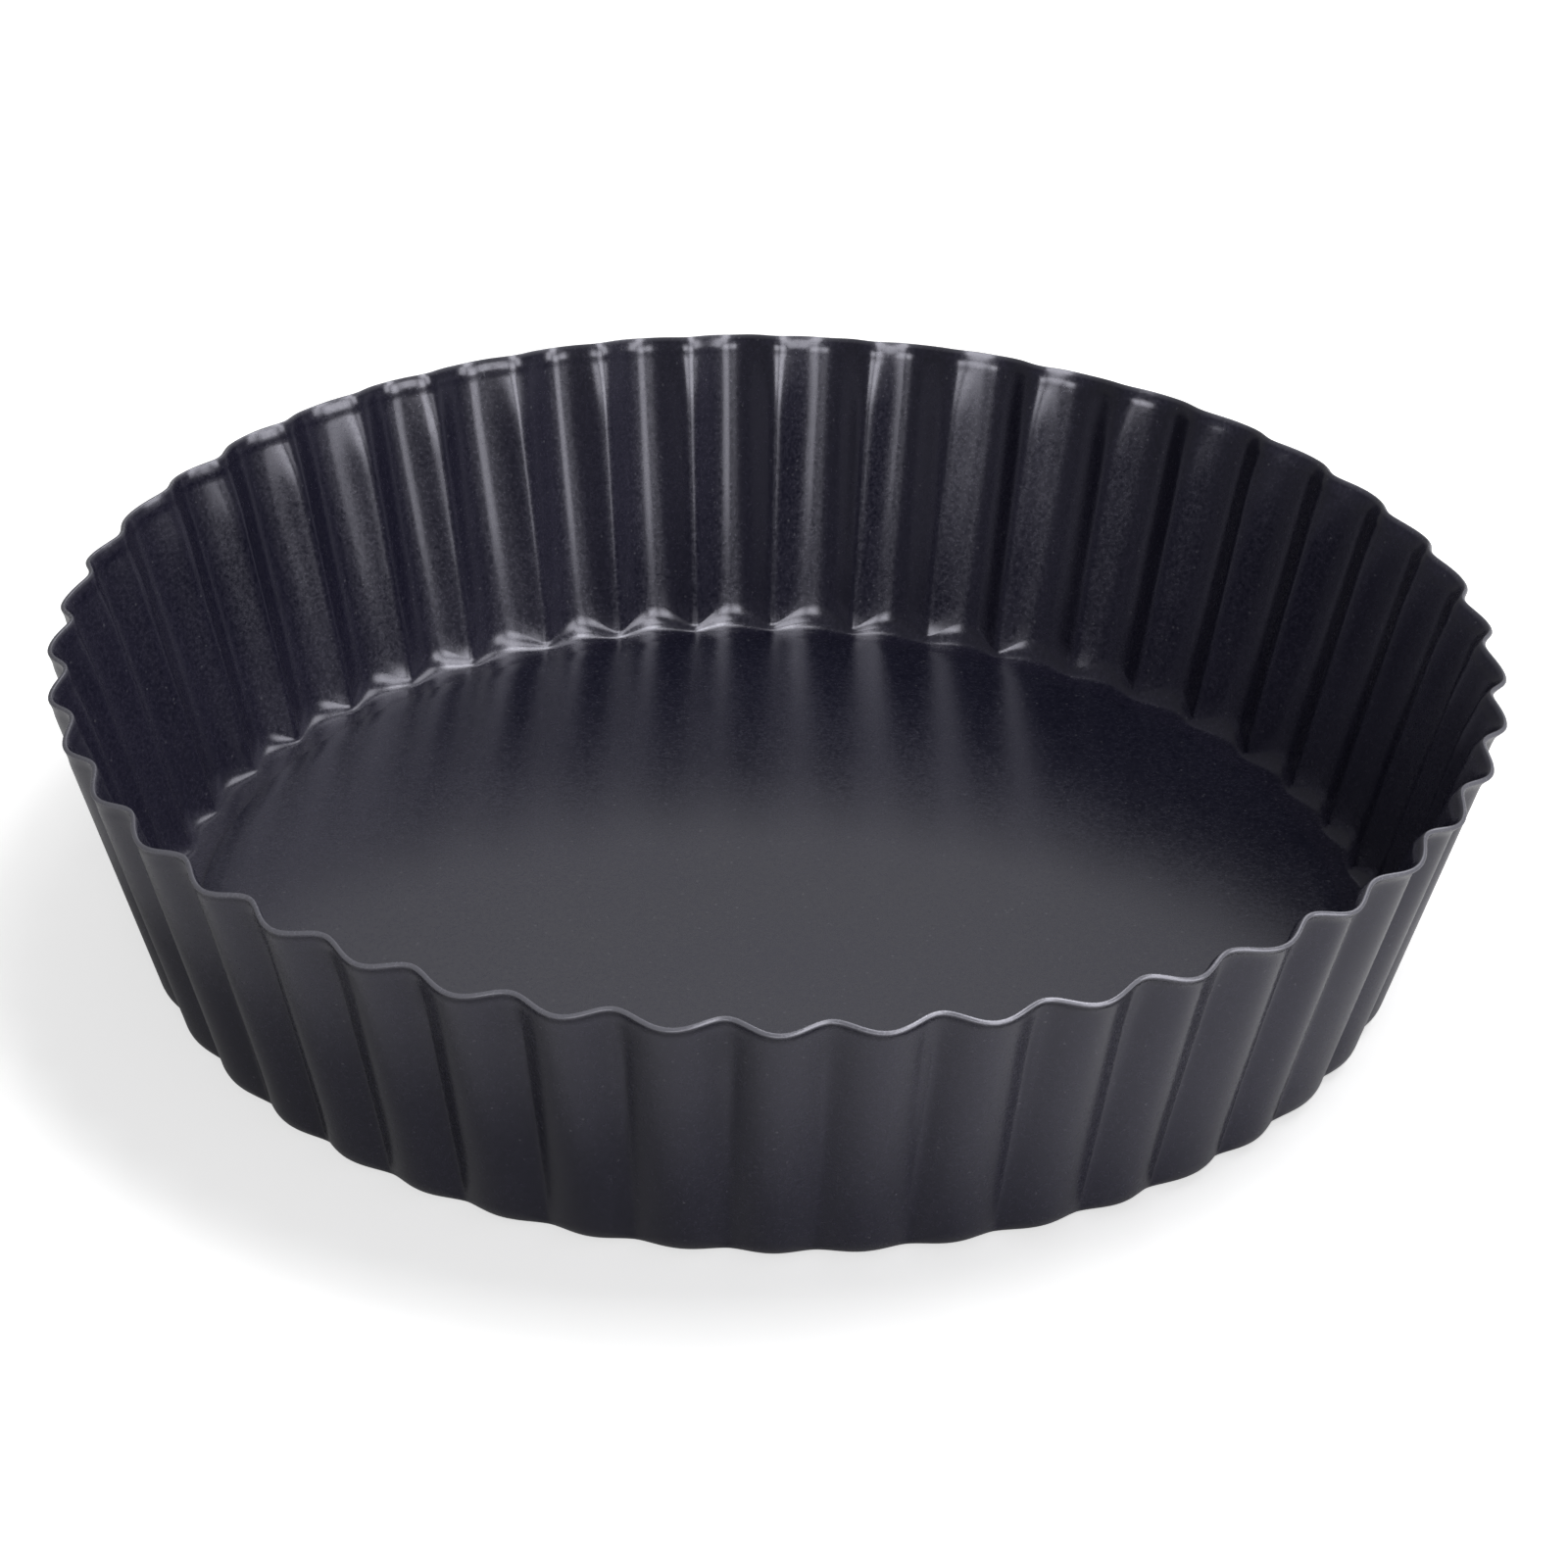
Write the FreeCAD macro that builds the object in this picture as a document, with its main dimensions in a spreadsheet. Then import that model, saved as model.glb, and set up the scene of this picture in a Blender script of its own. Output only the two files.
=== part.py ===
import FreeCAD, Part
import math
import os
import Sketcher

# Loose-base fluted tart pan. Millimetres, +Z up, origin at the centre of the face it rests on.
# Two pressed sheets: a fluted ring with an inward ledge, and a flat disc that lies on the ledge.

DIMENSIONS = [
    ("sheet_thickness", 0.8),
    ("flute_count", 45),
    ("foot_radius", 103.55),
    ("rim_radius", 119.7),
    ("rim_height", 52.0),
    ("rim_dip", 0.55),
    ("lip_height", 2.8),
    ("lip_reach", 2.2),
    ("lip_bend", 1.0),
    ("flute_depth_foot", 0.8),
    ("flute_depth_rim", 1.25),
    ("ridge_sharpness_foot", 0.18),
    ("ridge_sharpness_rim", 0.06),
    ("bend_on_ledge_crest", 1.0),
    ("bend_on_wall_crest", 6.4),
    ("bend_on_ledge_ridge", 0.6),
    ("bend_on_wall_ridge", 0.6),
    ("ledge_bore_radius", 91.5),
    ("base_radius", 97.5),
    ("base_thickness", 0.8),
    ("base_edge_break", 0.15),
]

POLES_PER_FLUTE = 8
AROUND_DEGREE = 3
PROFILE_DEGREE = 2

LIP_KNEE_HEIGHT = 0.6
LIP_KNEE_REACH = 0.4


def add_sheet(doc):
    sheet = doc.addObject("Spreadsheet::Sheet", "dimensions")
    for row, (name, value) in enumerate(DIMENSIONS, start=1):
        sheet.set("A%d" % row, name)
        sheet.set("B%d" % row, str(value))
        sheet.setAlias("B%d" % row, name)
    doc.recompute()
    return sheet


# ---- fluted ring -------------------------------------------------------------------------------

def pole_gain(harmonic):
    """How much a cubic spline's poles must overshoot for the curve to reach the wanted wave."""
    return 3.0 / (2.0 + math.cos(2.0 * math.pi * harmonic / POLES_PER_FLUTE))


def flute_wave(phase, sharpness):
    """+1 near an outward crest, -1 near an inward ridge; sharpness narrows the ridge."""
    broad = pole_gain(1) * math.cos(phase)
    narrow = pole_gain(2) * math.cos(2.0 * phase)
    return broad - sharpness * narrow


def between(at_ridge, at_crest, phase):
    """A size that changes smoothly from its value on a ridge to its value on a crest."""
    return at_ridge + 0.5 * (1.0 + math.cos(phase)) * (at_crest - at_ridge)


def outside_corners(sheet, phase):
    """Corners of the ring's outside outline at one flute phase, as (radius, height)."""
    foot_wave = sheet.flute_depth_foot * flute_wave(phase, sheet.ridge_sharpness_foot)
    rim_wave = sheet.flute_depth_rim * flute_wave(phase, sheet.ridge_sharpness_rim)
    top = sheet.rim_height - sheet.rim_dip * pole_gain(1) * math.cos(phase)
    crease = (sheet.rim_radius - sheet.lip_reach + rim_wave, top - sheet.lip_height)
    knee = (crease[0] + LIP_KNEE_REACH * sheet.lip_reach, crease[1] + LIP_KNEE_HEIGHT * sheet.lip_height)
    return [
        (sheet.ledge_bore_radius, 0.0),
        (sheet.foot_radius + foot_wave, 0.0),
        crease,
        knee,
        (sheet.rim_radius + rim_wave, top),
    ]


def direction(start, end):
    length = math.hypot(end[0] - start[0], end[1] - start[1])
    return ((end[0] - start[0]) / length, (end[1] - start[1]) / length)


def along(point, heading, distance):
    return (point[0] + heading[0] * distance, point[1] + heading[1] * distance)


def offset_corners(corners, distance):
    """The same outline moved sideways by distance, towards the inside of the pan, with mitred corners."""
    headings = [direction(a, b) for a, b in zip(corners, corners[1:])]
    normals = [(-h[1], h[0]) for h in headings]
    moved = [along(corners[0], normals[0], distance)]
    for corner, before, after in zip(corners[1:], normals, normals[1:]):
        stretch = distance / (1.0 + before[0] * after[0] + before[1] * after[1])
        moved.append(along(corner, (before[0] + after[0], before[1] + after[1]), stretch))
    moved.append(along(corners[-1], normals[-1], distance))
    return moved


def profile_poles(corners, bend_on_ledge, bend_on_wall, lip_bend):
    """Poles of the rounded outline from the start of the foot bend to the lip's edge."""
    ledge, foot, crease, knee, edge = corners
    up_wall = direction(foot, crease)
    return [
        along(foot, direction(foot, ledge), bend_on_ledge),
        foot,
        along(foot, up_wall, 2.0 * bend_on_wall),
        along(crease, up_wall, -2.0 * lip_bend),
        crease,
        knee,
        edge,
    ]


def skin_surface(sheet, offset):
    """One side of the pressed sheet: a spline surface, periodic round the pan."""
    flutes = int(sheet.flute_count)
    pole_count = flutes * POLES_PER_FLUTE
    rows = []
    for index in range(pole_count):
        angle = 2.0 * math.pi * index / pole_count
        phase = flutes * angle
        corners = outside_corners(sheet, phase)
        wall = direction(corners[1], corners[2])
        turn = math.atan2(wall[1], wall[0])
        outer_extra = (sheet.sheet_thickness - offset) * math.tan(turn / 2.0)
        bend_on_ledge = outer_extra + between(sheet.bend_on_ledge_ridge, sheet.bend_on_ledge_crest, phase)
        bend_on_wall = outer_extra + between(sheet.bend_on_wall_ridge, sheet.bend_on_wall_crest, phase)
        poles = profile_poles(offset_corners(corners, offset), bend_on_ledge, bend_on_wall, sheet.lip_bend)
        rows.append([FreeCAD.Vector(r * math.cos(angle), r * math.sin(angle), z) for r, z in poles])
    spans = len(rows[0]) - PROFILE_DEGREE
    surface = Part.BSplineSurface()
    surface.buildFromPolesMultsKnots(
        rows,
        [1] * (pole_count + 1),
        [PROFILE_DEGREE + 1] + [1] * (spans - 1) + [PROFILE_DEGREE + 1],
        [float(knot) for knot in range(pole_count + 1)],
        [float(knot) for knot in range(spans + 1)],
        True,
        False,
        AROUND_DEGREE,
        PROFILE_DEGREE,
    )
    return surface


def edge_loop(surface, at_top):
    """The skin's closed boundary: its lip edge, or the line where its foot bend meets the ledge."""
    first, last = surface.bounds()[2:]
    return surface.vIso(last if at_top else first).toShape()


def ledge_face(bend_start, radius, height):
    bore = Part.makeCircle(radius, FreeCAD.Vector(0, 0, height))
    return Part.makeFace([Part.Wire(bend_start), Part.Wire(bore)], "Part::FaceMakerBullseye")


def ring_shape(sheet):
    outside = skin_surface(sheet, 0.0)
    inside = skin_surface(sheet, sheet.sheet_thickness)
    lip_edge = Part.makeRuledSurface(edge_loop(outside, True), edge_loop(inside, True))
    underside = ledge_face(edge_loop(outside, False), sheet.ledge_bore_radius, 0.0)
    ledge_top = ledge_face(edge_loop(inside, False), sheet.ledge_bore_radius, sheet.sheet_thickness)
    bore = Part.makeCircle(sheet.ledge_bore_radius).extrude(FreeCAD.Vector(0, 0, sheet.sheet_thickness))
    shell = Part.Shell([outside.toShape(), inside.toShape(), lip_edge, underside, ledge_top, bore])
    shell.sewShape()
    solid = Part.Solid(shell)
    if solid.Volume < 0:
        solid.reverse()
    return solid


def add_fluted_ring(doc, sheet):
    ring = doc.addObject("Part::Feature", "fluted_ring")
    ring.Label = "fluted_ring"
    ring.Shape = ring_shape(sheet)
    ring.Placement = FreeCAD.Placement()
    return ring


# ---- base disc ---------------------------------------------------------------------------------

def origin_plane(body, role):
    return next(item for item in body.Origin.OriginFeatures if item.Role == role)


def add_base_disc(doc, sheet):
    body = doc.addObject("PartDesign::Body", "base_disc")
    body.Label = "base_disc"

    outline = body.newObject("Sketcher::SketchObject", "base_outline")
    outline.AttachmentSupport = [(origin_plane(body, "XY_Plane"), "")]
    outline.MapMode = "FlatFace"
    up = FreeCAD.Vector(0, 0, 1)
    circle = outline.addGeometry(Part.Circle(FreeCAD.Vector(), up, sheet.base_radius), False)
    outline.addConstraint(Sketcher.Constraint("Coincident", circle, 3, -1, 1))
    outline.addConstraint(Sketcher.Constraint("Radius", circle, sheet.base_radius))
    outline.renameConstraint(1, "radius")
    outline.setExpression("Constraints.radius", "dimensions.base_radius")

    blank = body.newObject("PartDesign::Pad", "base_blank")
    blank.Profile = outline
    blank.setExpression("Length", "dimensions.base_thickness")
    doc.recompute()

    edges = ["Edge%d" % number for number, edge in enumerate(blank.Shape.Edges, start=1)
             if isinstance(edge.Curve, Part.Circle)]
    edge_break = body.newObject("PartDesign::Chamfer", "base_edge_break")
    edge_break.Base = (blank, edges)
    edge_break.setExpression("Size", "dimensions.base_edge_break")
    body.Tip = edge_break
    body.setExpression("Placement.Base.z", "dimensions.sheet_thickness")
    doc.recompute()
    return body


# ---- check and write ---------------------------------------------------------------------------

def check(doc, subparts):
    for item in doc.Objects:
        if "Invalid" in item.State or "Error" in item.State:
            raise RuntimeError("%s did not compute: %s" % (item.Name, item.State))
    for item in subparts:
        shape = item.Shape
        if shape.isNull() or not shape.isValid() or len(shape.Solids) != 1:
            raise RuntimeError("%s is not one valid solid" % item.Label)


def main():
    doc = FreeCAD.newDocument("tart_pan")
    sheet = add_sheet(doc)
    subparts = [add_fluted_ring(doc, sheet), add_base_disc(doc, sheet)]
    doc.recompute()
    check(doc, subparts)
    os.makedirs("parts", exist_ok=True)
    for item in subparts:
        item.Shape.exportStep("parts/%s.step" % item.Label)
        box = item.Shape.BoundBox
        print("%s: %.1f x %.1f x %.1f mm, %.1f cm3" % (
            item.Label, box.XLength, box.YLength, box.ZLength, item.Shape.Volume / 1000.0))


main()
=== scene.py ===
import math

import bpy
import numpy as np
from mathutils import Matrix, Vector


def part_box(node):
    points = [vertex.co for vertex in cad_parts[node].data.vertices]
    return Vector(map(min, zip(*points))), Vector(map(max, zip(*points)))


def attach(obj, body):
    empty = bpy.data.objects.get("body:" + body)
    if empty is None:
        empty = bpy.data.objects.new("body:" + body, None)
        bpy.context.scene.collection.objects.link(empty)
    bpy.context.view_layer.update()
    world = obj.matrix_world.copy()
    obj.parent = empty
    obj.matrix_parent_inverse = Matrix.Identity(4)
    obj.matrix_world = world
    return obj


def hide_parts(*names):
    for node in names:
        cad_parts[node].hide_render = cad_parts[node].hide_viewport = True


# Loose-base fluted tart pan. The two CAD sheets give the sizes; this script builds the sheets that are seen,
# with finer fluting, rounded cut edges and a satin non-stick coating.

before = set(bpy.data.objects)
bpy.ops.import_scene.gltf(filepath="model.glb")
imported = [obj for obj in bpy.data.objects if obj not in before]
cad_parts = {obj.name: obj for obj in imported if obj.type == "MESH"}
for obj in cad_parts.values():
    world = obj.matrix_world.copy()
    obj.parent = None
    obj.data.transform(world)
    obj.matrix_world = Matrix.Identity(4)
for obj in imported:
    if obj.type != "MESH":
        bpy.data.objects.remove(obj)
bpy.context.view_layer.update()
ring_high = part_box("fluted_ring")[1]
disc_low, disc_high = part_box("base_disc")

MM = 0.001
SEED = 11

# ---- sizes, in metres ----------------------------------------------------------------------------

FLUTES = 45
SHEET = disc_low.z                       # the disc lies on the ledge, so its underside is one sheet up
RIM_RADIUS = ring_high.x - 1.25 * MM     # middle of the fluting at the lip's edge
RIM_TOP = ring_high.z - 1.1 * MM
FOOT_RADIUS = RIM_RADIUS - 16.2 * MM
LEDGE_BORE = 91.5 * MM

LIP_HEIGHT = 2.8 * MM
LIP_REACH = 1.5 * MM
LIP_REACH_SWING = 0.4                    # the lip is pressed out further on the +X side than on the -X side
LIP_BEND = 0.6 * MM
LIP_KNEE = (0.33, 0.58)                  # share of the reach and of the height at which it turns out most
RIM_DIP = 0.55 * MM

# Fluting at shares of the wall's height: half its depth, and how soft its creases are.
FLUTE_SHARE = (0.0, 0.35, 0.65, 0.88, 1.0)
FLUTE_DEPTH = (1.1 * MM, 1.4 * MM, 1.6 * MM, 1.7 * MM, 1.3 * MM)
FLUTE_SOFTNESS = (0.17, 0.18, 0.20, 0.28, 0.70)

# The foot's rounding, in a crease and on a lobe: the corner it cuts, how far back on the ledge it starts
# and how high up the wall it ends. The corner's line is softer than the other two.
FOOT_CORNER = (102.1 * MM, 104.5 * MM)
FOOT_START = (1.3 * MM, 3.2 * MM)
FOOT_RISE = (1.5 * MM, 4.2 * MM)
FOOT_CORNER_SOFTNESS = 0.8
FOOT_SOFTNESS = 0.5

# How much the pressed flutes differ from one another.
FLUTE_WANDER = 0.10                      # in radians of a flute's turn
FLUTE_DEPTH_SPREAD = 0.06                # share of the depth
WALL_LEAN = 0.18 * MM
RIM_WAVE = 0.08 * MM

# A second fold in a crease's upper part: its greatest depth, its width and how far it sits off the crease,
# both in radians of a flute's turn, and how it comes and goes with the wall's height.
PINCH = 0.34 * MM
PINCH_WIDTH = 0.4
PINCH_OFF_CENTRE = 0.3
PINCH_SHARE = (0.35, 0.75, 0.95, 1.0)
PINCH_FADE = (0.0, 1.0, 1.0, 0.0)

COLUMNS_PER_FLUTE = 26
COLUMN_CROWDING = 0.5                    # columns crowd together in the creases
LEDGE_ROWS = 3
FOOT_ROWS = 11
WALL_ROWS = 13
LIP_ROWS = 4                             # for each of the lip's two bends

CUT_EDGE_BULGE = 0.22 * MM
CUT_EDGE_STEPS = 6
CUT_EDGE_SQUARENESS = 0.7                # 1 is a round edge, less is squarer

DISC_COLUMNS = 360
DISC_RINGS = 29
DISC_EDGE_BREAK = 0.18 * MM
DISC_EDGE_STEPS = 3
DISC_WAVES = 14
DISC_WAVE_HEIGHT = 0.05 * MM
DISC_WAVE_TURNS = (12, 60)               # radians of wave for each metre
DISC_FLAT_FROM = 0.9 * LEDGE_BORE        # from here to its edge the disc is quite flat


# ---- small shape tools ---------------------------------------------------------------------------

def mix(a, b, share):
    return a + (b - a) * share


def unit(vectors):
    return vectors / np.linalg.norm(vectors, axis=-1, keepdims=True)


def straight(start, end, steps):
    return [mix(start, end, share) for share in np.linspace(0, 1, steps + 1)[1:]]


def bend(start, corner, end, steps):
    return [mix(mix(start, corner, t), mix(corner, end, t), t) for t in np.linspace(0, 1, steps + 1)[1:]]


def ripple(angle, slowest, fastest, rng):
    """Smooth noise that closes round the pan, about 1 in size."""
    total = np.zeros_like(angle)
    weights = rng.uniform(0.5, 1.0, fastest - slowest + 1)
    for order, weight in zip(range(slowest, fastest + 1), weights):
        total += weight * np.cos(order * angle + rng.uniform(0, 2 * math.pi))
    return total / math.sqrt(0.5 * np.sum(weights ** 2))


def new_mesh(name, points, faces, smooth=True):
    mesh = bpy.data.meshes.new(name)
    mesh.from_pydata(points.tolist(), [], faces)
    mesh.polygons.foreach_set("use_smooth", [smooth] * len(mesh.polygons))
    mesh.update()
    piece = bpy.data.objects.new(name, mesh)
    bpy.context.scene.collection.objects.link(piece)
    return piece


def add_point_value(piece, name, values):
    attribute = piece.data.attributes.new(name, "FLOAT", "POINT")
    attribute.data.foreach_set("value", np.asarray(values, np.float32).ravel())


# ---- fluted ring ---------------------------------------------------------------------------------

def flute(phase, softness):
    """Fluting round the wall: +1 on an outward lobe, -1 in the narrower crease between two lobes."""
    lobe = np.sqrt(np.cos(phase / 2) ** 2 + softness ** 2)
    return 2 * (lobe - softness) / (np.sqrt(1 + softness ** 2) - softness) - 1


class Fluting:
    """Where the middle of the ring's sheet runs, for columns of points at the given angles."""

    def __init__(self, angle):
        rng = np.random.default_rng(SEED)
        self.angle = angle
        self.phase = FLUTES * angle + FLUTE_WANDER * ripple(angle, 6, 30, rng)
        self.depth = 1 + FLUTE_DEPTH_SPREAD * ripple(angle, 5, 40, rng)
        self.lean = WALL_LEAN * ripple(angle, 2, 5, rng)
        self.top = RIM_TOP - RIM_DIP * np.cos(self.phase) + RIM_WAVE * ripple(angle, 4, 30, rng)
        self.crease_height = self.top - LIP_HEIGHT
        self.lip_reach = LIP_REACH * (1 + LIP_REACH_SWING * np.cos(angle))
        self.pinch = self.second_folds(rng)

    def second_folds(self, rng):
        crease = (self.phase // (2 * math.pi)).astype(int) % FLUTES
        off_centre = rng.uniform(-PINCH_OFF_CENTRE, PINCH_OFF_CENTRE, FLUTES)[crease]
        depth = PINCH * rng.uniform(0, 1, FLUTES)[crease]
        turn = self.phase % (2 * math.pi) - math.pi - off_centre
        return depth * np.exp(-(turn / PINCH_WIDTH) ** 2)

    def wall(self, share):
        """Point on the wall at a share of its height, as rows of radius and height."""
        softness = np.interp(share, FLUTE_SHARE, FLUTE_SOFTNESS)
        depth = np.interp(share, FLUTE_SHARE, FLUTE_DEPTH)
        foot_lobe = FOOT_RADIUS + FLUTE_DEPTH[0]
        rim_lobe = RIM_RADIUS - self.lip_reach + FLUTE_DEPTH[-1]
        lobe = mix(foot_lobe, rim_lobe, share) + self.lean * share
        pinch = self.pinch * np.interp(share, PINCH_SHARE, PINCH_FADE)
        height = mix(SHEET / 2, self.crease_height, share)
        return np.array([lobe + depth * self.depth * (flute(self.phase, softness) - 1) + pinch, height])

    def rows(self):
        """Rows of points from the ledge's bore to the lip's edge."""
        level = np.full_like(self.angle, SHEET / 2)
        corner_lobe = 0.5 + 0.5 * flute(self.phase, FOOT_CORNER_SOFTNESS)
        foot_lobe = 0.5 + 0.5 * flute(self.phase, FOOT_SOFTNESS)
        foot_share = mix(*FOOT_RISE, foot_lobe) / self.crease_height
        lip_share = 1 - LIP_BEND / self.crease_height

        bore = np.array([np.full_like(self.angle, LEDGE_BORE), level])
        corner = np.array([mix(*FOOT_CORNER, corner_lobe), level])
        start = corner - np.array([mix(*FOOT_START, foot_lobe), 0 * level])
        crease = self.wall(1.0)
        edge = crease + np.array([self.lip_reach, self.top - self.crease_height])
        knee = crease + (edge - crease) * np.array(LIP_KNEE)[:, None]

        rows = [bore]
        rows += straight(bore, start, LEDGE_ROWS)
        rows += bend(start, corner, self.wall(foot_share), FOOT_ROWS)
        for share in np.linspace(0, 1, WALL_ROWS + 1)[1:]:
            rows.append(self.wall(mix(foot_share, lip_share, share)))
        rows += bend(rows[-1], crease, (crease + knee) / 2, LIP_ROWS)
        rows += bend(rows[-1], knee, edge, LIP_ROWS)
        return rows


def rounded_edge(middle, across, outward):
    """Rows that carry the sheet's surface round a cut edge, from its first side to its second."""
    rows = []
    for turn in np.linspace(-math.pi / 2, math.pi / 2, CUT_EDGE_STEPS + 1)[1:-1]:
        side = math.copysign(abs(math.sin(turn)) ** CUT_EDGE_SQUARENESS, math.sin(turn))
        bulge = CUT_EDGE_BULGE * math.cos(turn) ** CUT_EDGE_SQUARENESS
        rows.append(middle + across * side * SHEET / 2 + outward * bulge)
    return rows


def build_ring():
    columns = FLUTES * COLUMNS_PER_FLUTE
    even = np.arange(columns) * 2 * math.pi / columns
    angle = even + COLUMN_CROWDING * np.sin(FLUTES * even) / FLUTES
    middle = np.array(Fluting(angle).rows())
    radius = middle[:, 0]
    height = middle[:, 1]
    grid = np.stack([radius * np.cos(angle), radius * np.sin(angle), height], axis=-1)

    up = unit(np.gradient(grid, axis=0))
    around = unit(np.roll(grid, -1, axis=1) - np.roll(grid, 1, axis=1))
    inward = unit(np.cross(up, around))
    outside = grid - inward * SHEET / 2
    inside = grid + inward * SHEET / 2
    lip_edge = rounded_edge(grid[-1], inward[-1], up[-1])
    bore_edge = rounded_edge(grid[0], -inward[0], -up[0])
    loop = np.concatenate([outside, lip_edge, inside[::-1], bore_edge])

    # The coating is worn on the lip's cut edge, and half as much on the rows beside it; its lighter colour
    # there is partly a painted highlight along the rim.
    first = len(grid)
    after = first + len(lip_edge)
    wear_and_highlight = np.zeros(len(loop))
    wear_and_highlight[first:after] = 1.0
    wear_and_highlight[[first - 1, after]] = 0.5

    faces = []
    for row in range(len(loop)):
        low = row * columns
        high = (row + 1) % len(loop) * columns
        for column in range(columns):
            following = (column + 1) % columns
            faces.append((low + column, low + following, high + following, high + column))
    ring = new_mesh("ring_sheet", loop.reshape(-1, 3), faces)
    add_point_value(ring, "wear_and_highlight", np.repeat(wear_and_highlight, columns))
    return ring


# ---- base disc -----------------------------------------------------------------------------------

def disc_profile():
    """Radius and height of the disc's outline, from near its middle on top, round its edge, to below."""
    flat = disc_high.x - DISC_EDGE_BREAK
    inner = np.linspace(0, 1, DISC_RINGS + 1)[1:] * flat
    turn = np.linspace(0, math.pi / 2, DISC_EDGE_STEPS + 1)[1:]
    top_radius = np.concatenate([inner, flat + DISC_EDGE_BREAK * np.sin(turn)])
    drop = np.concatenate([0 * inner, DISC_EDGE_BREAK * (1 - np.cos(turn))])
    radius = np.concatenate([top_radius, top_radius[::-1]])
    height = np.concatenate([disc_high.z - drop, disc_low.z + drop[::-1]])
    return radius, height


def disc_unevenness(x, y, radius):
    """Slight waves in the flat sheet, which fade out before the part that lies on the ledge."""
    rng = np.random.default_rng(SEED + 1)
    uneven = 0 * x
    for _ in range(DISC_WAVES):
        turns = rng.uniform(*DISC_WAVE_TURNS)
        direction = rng.uniform(0, 2 * math.pi)
        offset = rng.uniform(0, 2 * math.pi)
        uneven += np.cos(turns * (x * math.cos(direction) + y * math.sin(direction)) + offset)
    fade = np.clip(1 - radius / DISC_FLAT_FROM, 0, 1)[:, None] ** 0.5
    return DISC_WAVE_HEIGHT * uneven / math.sqrt(DISC_WAVES / 2) * fade


def build_disc():
    radius, height = disc_profile()
    angle = np.arange(DISC_COLUMNS) * 2 * math.pi / DISC_COLUMNS
    x = radius[:, None] * np.cos(angle)
    y = radius[:, None] * np.sin(angle)
    z = height[:, None] + disc_unevenness(x, y, radius)
    grid = np.stack([x, y, z], axis=-1)

    rows = len(grid)
    top_centre = rows * DISC_COLUMNS
    low_centre = top_centre + 1
    centres = [[0, 0, float(z[0].mean())], [0, 0, float(z[-1].mean())]]
    points = np.concatenate([grid.reshape(-1, 3), centres])
    last = (rows - 1) * DISC_COLUMNS
    faces = []
    for column in range(DISC_COLUMNS):
        following = (column + 1) % DISC_COLUMNS
        faces.append((top_centre, column, following))
        faces.append((low_centre, last + following, last + column))
        for row in range(rows - 1):
            low = row * DISC_COLUMNS
            high = low + DISC_COLUMNS
            faces.append((low + column, high + column, high + following, low + following))
    disc = new_mesh("base_sheet", points, faces)
    add_point_value(disc, "wear_and_highlight", np.zeros(len(points)))
    return disc


# ---- materials -----------------------------------------------------------------------------------

class Nodes:
    """A short way to add and link shader nodes."""

    def __init__(self, tree):
        self.tree = tree
        tree.nodes.clear()

    def add(self, kind, inputs=None, **settings):
        node = self.tree.nodes.new(kind)
        for name, value in settings.items():
            setattr(node, name, value)
        for name, value in (inputs or {}).items():
            socket = node.inputs[name]
            if isinstance(value, bpy.types.NodeSocket):
                self.tree.links.new(value, socket)
            else:
                socket.default_value = value
        return node

    def noise(self, place, scale, detail, roughness=0.5):
        made = self.add("ShaderNodeTexNoise", {
            "Vector": place,
            "Scale": scale,
            "Detail": detail,
            "Roughness": roughness,
        })
        return made.outputs["Fac"]

    def span(self, value, low, high, to_low, to_high):
        made = self.add("ShaderNodeMapRange", {
            "Value": value,
            "From Min": low,
            "From Max": high,
            "To Min": to_low,
            "To Max": to_high,
        })
        return made.outputs["Result"]

    def maths(self, operation, a, b):
        made = self.add("ShaderNodeMath", {0: a, 1: b}, operation=operation)
        return made.outputs[0]

    def blend(self, share, a, b):
        """Colour a, turned into colour b by a share."""
        made = self.add("ShaderNodeMix", {0: share, 6: a, 7: b}, data_type="RGBA")
        return made.outputs[2]


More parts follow.
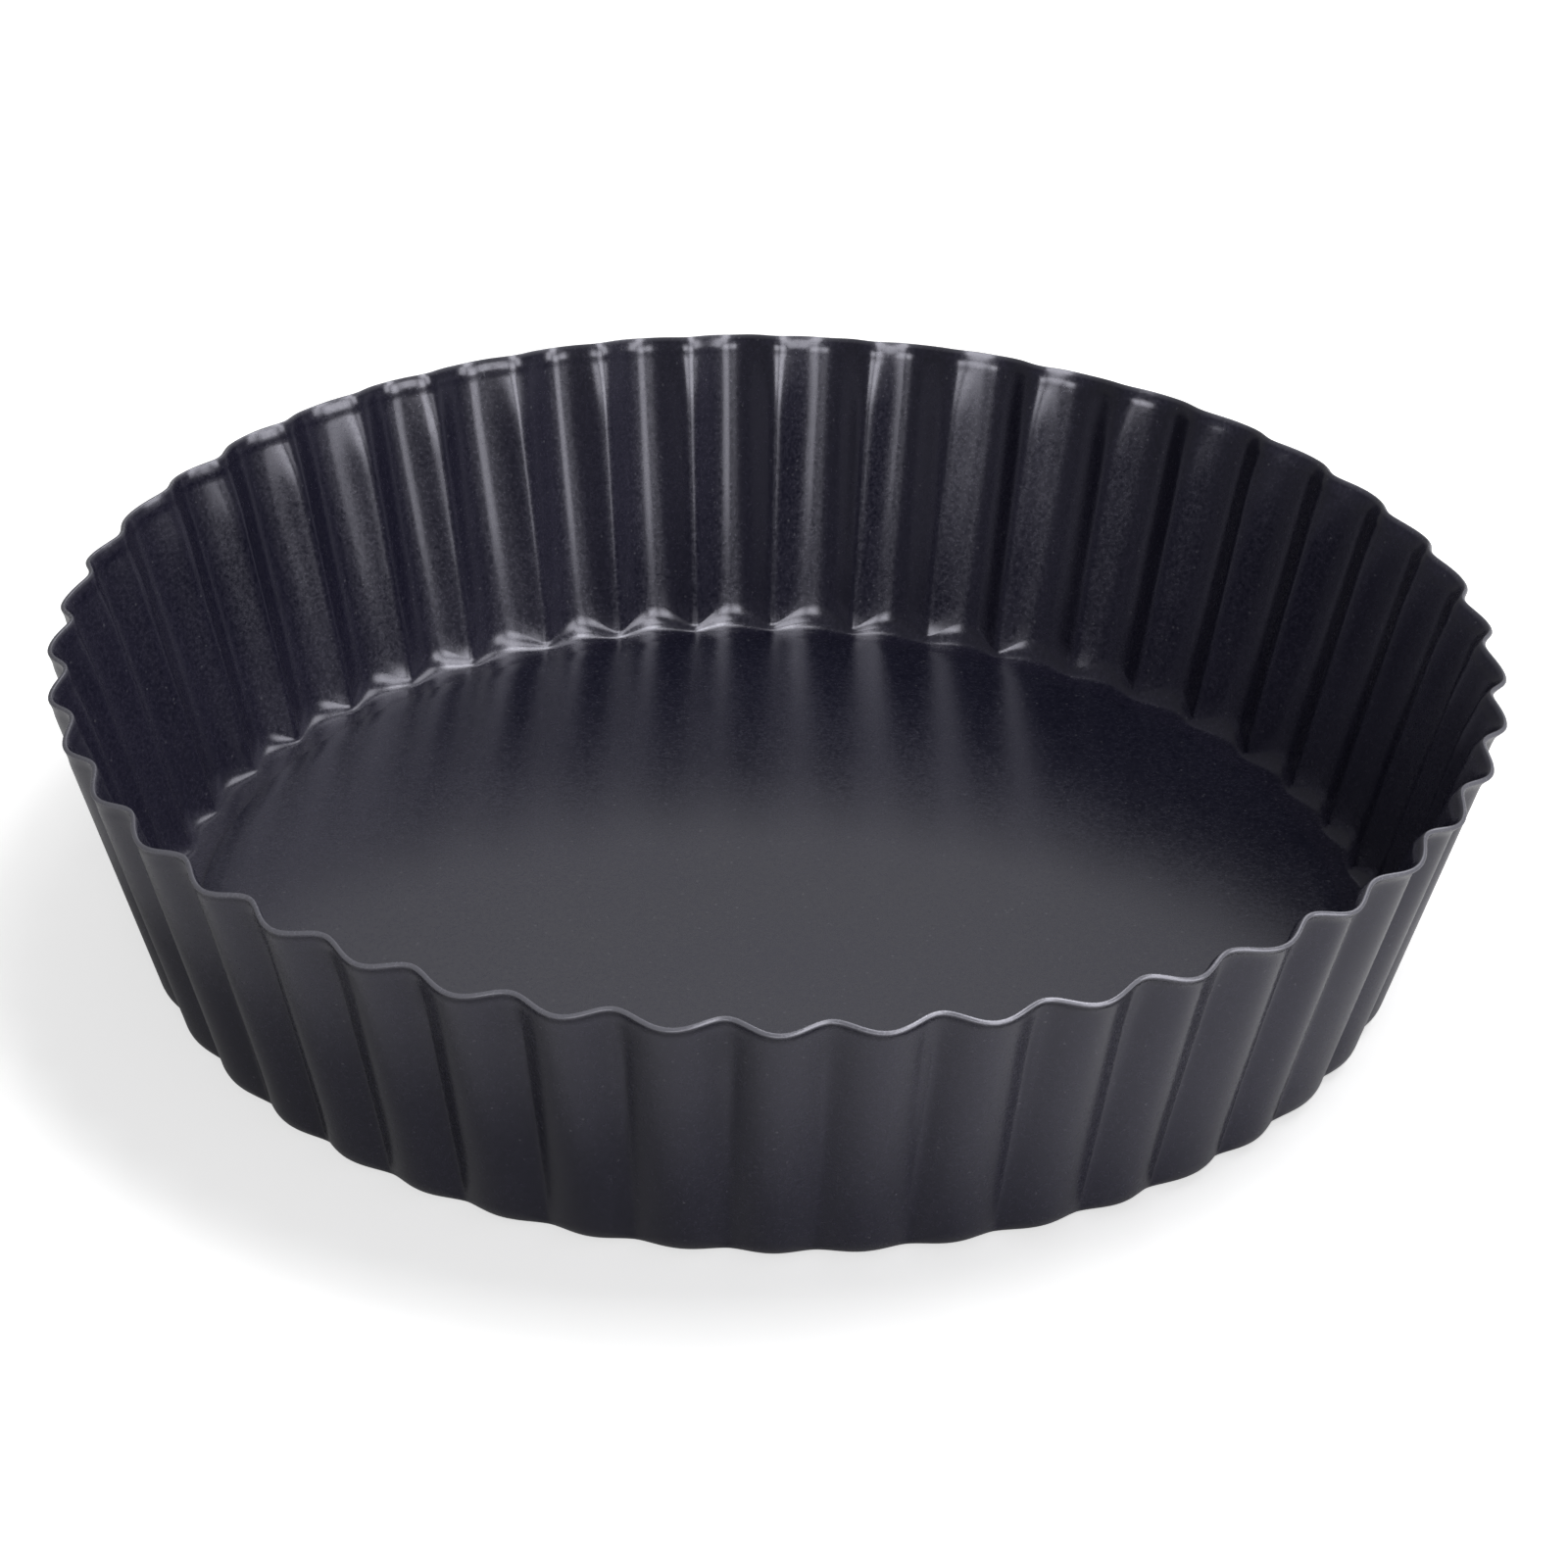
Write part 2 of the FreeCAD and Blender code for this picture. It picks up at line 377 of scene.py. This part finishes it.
def coating(name, dark, light, gloss_low, gloss_high):
    """Satin non-stick coating on sheet steel: cloudy charcoal, faint flecks, orange-peel skin, and a lighter
    cut edge that is partly wear and partly a painted highlight.

    The scales of its noises are roughly the number of their features in a metre.
    """
    material = bpy.data.materials.new(name)
    material.use_nodes = True
    nodes = Nodes(material.node_tree)
    place = nodes.add("ShaderNodeTexCoord").outputs["Object"]

    cloud = nodes.noise(place, 22.0, 4.0)
    grain = nodes.noise(place, 1500.0, 3.0, 0.6)
    peel = nodes.noise(place, 620.0, 3.0, 0.55)

    cloud_shade = nodes.span(cloud, 0.3, 0.7, 0.1, 0.6)
    grain_shade = nodes.span(grain, 0.3, 0.7, -0.25, 0.55)
    body = nodes.blend(nodes.maths("ADD", cloud_shade, grain_shade), dark, light)

    cells = nodes.add("ShaderNodeTexVoronoi", {"Vector": place, "Scale": 700.0, "Randomness": 1.0})
    speck = nodes.span(cells.outputs["Distance"], 0.10, 0.22, 1.0, 0.0)
    picked = nodes.span(nodes.noise(place, 900.0, 1.0), 0.55, 0.65, 0.0, 1.0)
    fleck = nodes.maths("MULTIPLY", nodes.maths("MULTIPLY", speck, picked), 0.15)
    flecked = nodes.blend(fleck, body, (0.22, 0.22, 0.24, 1.0))

    wear_and_highlight = nodes.add("ShaderNodeAttribute", attribute_name="wear_and_highlight").outputs["Fac"]
    # Lighter cut edge: worn coating, and also a painted highlight along the rim.
    colour = nodes.blend(nodes.maths("MULTIPLY", wear_and_highlight, 0.55), flecked, (0.16, 0.16, 0.18, 1.0))

    cloud_gloss = nodes.span(cloud, 0.3, 0.7, gloss_low, gloss_high)
    grain_gloss = nodes.span(grain, 0.3, 0.7, -0.04, 0.06)
    skin = nodes.maths("ADD", nodes.maths("MULTIPLY", peel, 0.7), nodes.maths("MULTIPLY", grain, 0.3))
    bump = nodes.add("ShaderNodeBump", {"Height": skin, "Strength": 0.30, "Distance": 0.03 * MM})
    surface = nodes.add("ShaderNodeBsdfPrincipled", {
        "Base Color": colour,
        "Roughness": nodes.maths("ADD", cloud_gloss, grain_gloss),
        "IOR": 1.75,
        "Specular Tint": (0.90, 0.89, 1.0, 1.0),
        "Normal": bump.outputs["Normal"],
    })
    nodes.add("ShaderNodeOutputMaterial", {"Surface": surface.outputs["BSDF"]})
    return material


def floor_material():
    """Pale floor that also glows a little, for the camera only, so that it reads as white."""
    material = bpy.data.materials.new("pale_floor")
    material.use_nodes = True
    nodes = Nodes(material.node_tree)
    seen = nodes.add("ShaderNodeLightPath").outputs["Is Camera Ray"]
    surface = nodes.add("ShaderNodeBsdfPrincipled", {
        "Base Color": (0.86, 0.86, 0.86, 1.0),
        "Roughness": 0.8,
        "Emission Color": (1.0, 1.0, 1.0, 1.0),
        "Emission Strength": nodes.maths("MULTIPLY", seen, 0.6),
    })
    nodes.add("ShaderNodeOutputMaterial", {"Surface": surface.outputs["BSDF"]})
    return material


# ---- studio --------------------------------------------------------------------------------------

FLOOR_HALF = 4.0
FLOOR_DROP = 0.05 * MM

WORLD_LIGHT = 0.17
SOFTBOX_AIM = Vector((0, 0, 0.03))
SOFTBOX_DISTANCE = 2.0

# Name, azimuth and elevation in degrees (azimuth 0 is on +X, 90 on +Y), width and height, radiance.
ROOM_SOFTBOXES = (
    ("top_right", 0, 73, (0.65, 0.6), 9.4),
    ("top_back", 60, 73, (0.65, 0.6), 5.0),
    ("back_right", 33, 44, (0.9, 0.7), 3.2),
    ("back", 87, 38, (0.85, 0.8), 0.62),
    ("front", -90, 24, (0.8, 0.7), 5.2),
)
# These light the pan and not the floor, because the outside wall mirrors the floor.
PAN_SOFTBOXES = (
    ("right_front", -28, 26, (0.8, 0.8), 4.6),
    ("front_right", -60, 20, (0.8, 0.9), 5.8),
    ("front_high", -45, 52, (0.9, 1.1), 5.4),
)

CAMERA_AIM = Vector((1.5 * MM, 0, 26.1 * MM))
CAMERA_DISTANCE = 1.058
CAMERA_AZIMUTH = math.radians(-88.717)
CAMERA_PITCH = math.radians(29.67)
CAMERA_ROLL = math.radians(-1.355)
CAMERA_SENSOR = 36.0                     # in millimetres, like the lens
CAMERA_LENS = 144.13


def direction_to(azimuth, elevation):
    """Unit vector towards an azimuth and an elevation, both in radians."""
    level = math.cos(elevation)
    return Vector((math.cos(azimuth) * level, math.sin(azimuth) * level, math.sin(elevation)))


def build_floor():
    corners = [(-1, -1), (1, -1), (1, 1), (-1, 1)]
    points = np.array([[x * FLOOR_HALF, y * FLOOR_HALF, -FLOOR_DROP] for x, y in corners])
    floor = new_mesh("floor", points, [(0, 1, 2, 3)], smooth=False)
    floor.data.materials.append(floor_material())


def add_softbox(name, azimuth, elevation, size, radiance):
    """A rectangular soft light that faces the pan."""
    back = direction_to(math.radians(azimuth), math.radians(elevation))
    lamp = bpy.data.lights.new(name, "AREA")
    lamp.shape = "RECTANGLE"
    lamp.size, lamp.size_y = size
    lamp.energy = radiance * math.pi * size[0] * size[1]
    light = bpy.data.objects.new(name, lamp)
    bpy.context.scene.collection.objects.link(light)
    light.visible_camera = False
    light.location = SOFTBOX_AIM + back * SOFTBOX_DISTANCE
    light.rotation_mode = "QUATERNION"
    light.rotation_quaternion = back.to_track_quat("Z", "Y")
    return light


def build_lights(pan_pieces):
    for settings in ROOM_SOFTBOXES:
        add_softbox(*settings)
    pan_only = bpy.data.collections.new("pan_only")
    for piece in pan_pieces:
        pan_only.objects.link(piece)
    for settings in PAN_SOFTBOXES:
        add_softbox(*settings).light_linking.receiver_collection = pan_only


def build_world():
    """Even light from all round, which the camera sees as white."""
    world = bpy.data.worlds.new("studio")
    bpy.context.scene.world = world
    world.use_nodes = True
    nodes = Nodes(world.node_tree)
    seen = nodes.add("ShaderNodeLightPath").outputs["Is Camera Ray"]
    light = nodes.span(seen, 0.0, 1.0, WORLD_LIGHT, 1.0)
    background = nodes.add("ShaderNodeBackground", {"Color": (1.0, 1.0, 1.0, 1.0), "Strength": light})
    nodes.add("ShaderNodeOutputWorld", {"Surface": background.outputs["Background"]})


def build_camera():
    back = direction_to(CAMERA_AZIMUTH, CAMERA_PITCH)
    level_right = Vector((0, 0, 1)).cross(back).normalized()
    level_up = back.cross(level_right)
    up = level_up * math.cos(CAMERA_ROLL) + level_right * math.sin(CAMERA_ROLL)
    right = up.cross(back)
    turn = Matrix((right, up, back)).transposed().to_4x4()
    data = bpy.data.cameras.new("camera")
    data.sensor_width = CAMERA_SENSOR
    data.lens = CAMERA_LENS
    camera = bpy.data.objects.new("camera", data)
    bpy.context.scene.collection.objects.link(camera)
    camera.matrix_world = Matrix.Translation(CAMERA_AIM + back * CAMERA_DISTANCE) @ turn
    bpy.context.scene.camera = camera


# ---- put it together -----------------------------------------------------------------------------

ring = build_ring()
ring.data.materials.append(coating(
    "ring_coating",
    dark=(0.002, 0.002, 0.007, 1),
    light=(0.011, 0.010, 0.020, 1),
    gloss_low=0.21,
    gloss_high=0.26,
))
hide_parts("fluted_ring")
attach(ring, "ring")

disc = build_disc()
disc.data.materials.append(coating(
    "base_coating",
    dark=(0.002, 0.002, 0.007, 1),
    light=(0.010, 0.010, 0.019, 1),
    gloss_low=0.22,
    gloss_high=0.27,
))
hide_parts("base_disc")
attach(disc, "base")

build_floor()
build_world()
build_lights([ring, disc])
build_camera()
bpy.context.scene.view_settings.view_transform = "Standard"
